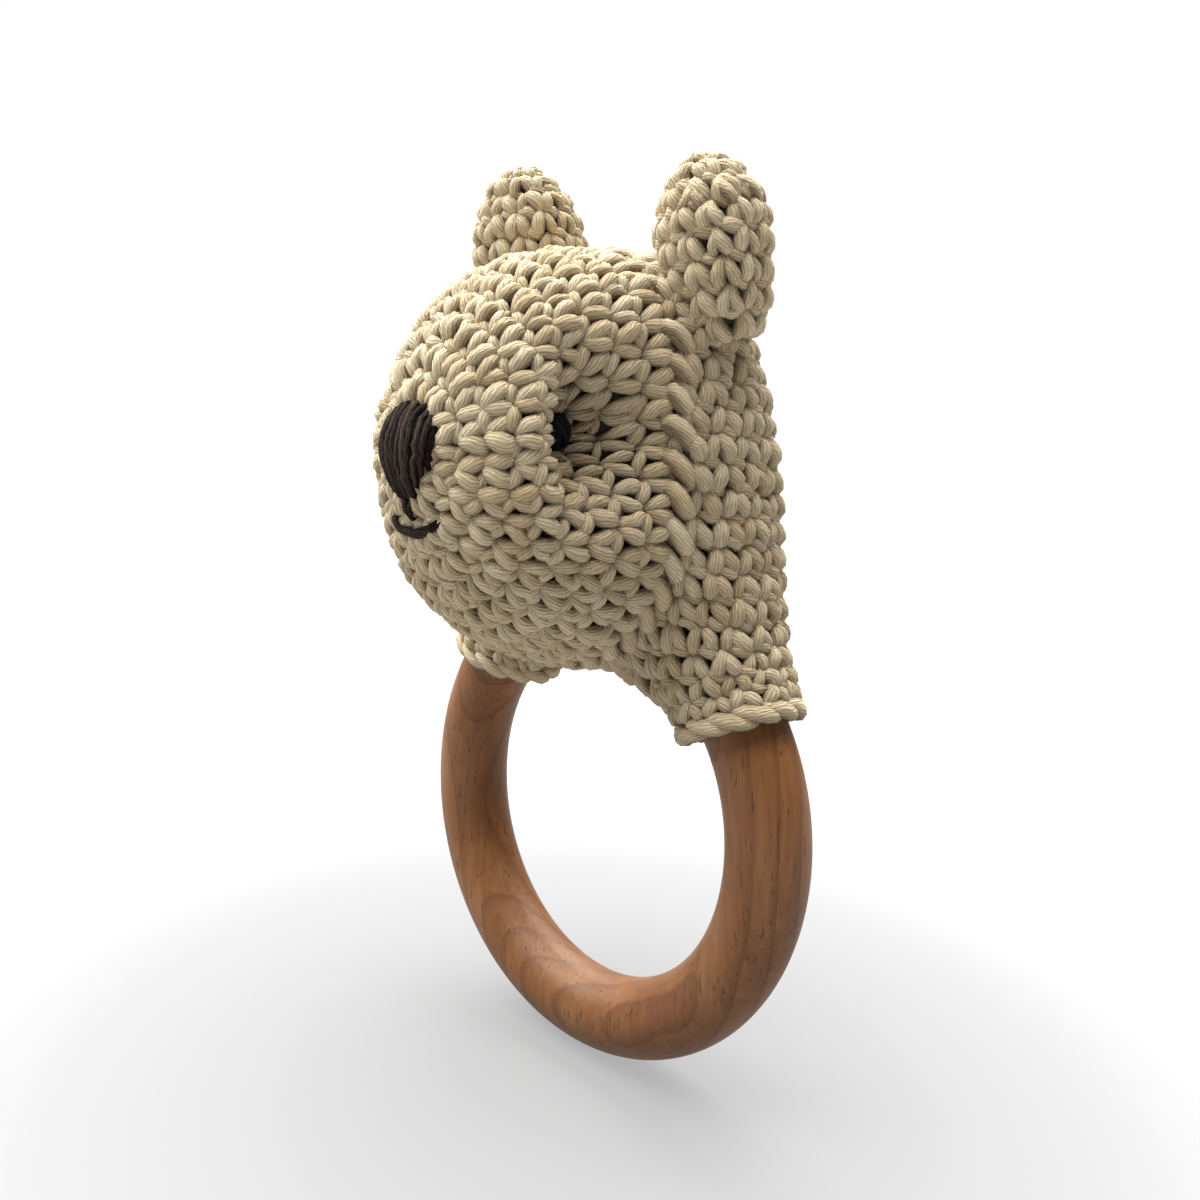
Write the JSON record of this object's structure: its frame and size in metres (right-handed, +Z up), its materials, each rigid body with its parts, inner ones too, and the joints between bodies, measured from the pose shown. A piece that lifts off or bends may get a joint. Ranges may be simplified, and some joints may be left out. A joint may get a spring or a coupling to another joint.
{
  "type": "teething ring",
  "caption": "Smooth wooden teething ring with a stuffed, crocheted animal head whose sleeve wraps the top of the ring.",
  "frame": {"origin": "the foot of the wooden ring: the middle of the small flat facet at its lowest point, in the ring's own plane", "axes": "+Z up through the ring's centre to the ears; Y is the ring's axis, and the face looks towards -Y; +X runs across the ring to the animal's left-hand side as a viewer in front sees its right"},
  "size_m": [0.07, 0.049, 0.1233],
  "materials": {
    "beech": "sanded and oiled beech, satin",
    "cream_cotton": "matte mercerised cotton yarn, crocheted",
    "dark_yarn": "matte dark brown yarn, satin stitch",
    "black_thread": "matte black thread",
    "fibre_fill": "loose white polyester fibre"
  },
  "bodies": {
    "head": {"face_cover": "cream_cotton", "hood_cover": "cream_cotton", "stuffing_front": "fibre_fill", "stuffing_back": "fibre_fill", "ear_right_cover": "cream_cotton", "ear_right_stuffing": "fibre_fill", "ear_right_seam": "cream_cotton", "ear_left_cover": "cream_cotton", "ear_left_stuffing": "fibre_fill", "ear_left_seam": "cream_cotton", "nose_embroidery": "dark_yarn", "philtrum_stitch": "dark_yarn", "mouth_stitch": "dark_yarn", "eye_right": "black_thread", "eye_left": "black_thread", "eye_tie_thread": "black_thread", "face_seam_yarn": "cream_cotton", "hem_right": "cream_cotton", "hem_left": "cream_cotton", "closing_seam": "cream_cotton"},
    "ring": {"wooden_ring": "beech"}
  },
  "joints": [
    {"name": "ring_spin", "type": "hinge", "parent": "head", "child": "ring", "pos_m": [0, 0, 0.035], "axis": [0, 1, 0], "continuous": true}
  ]
}
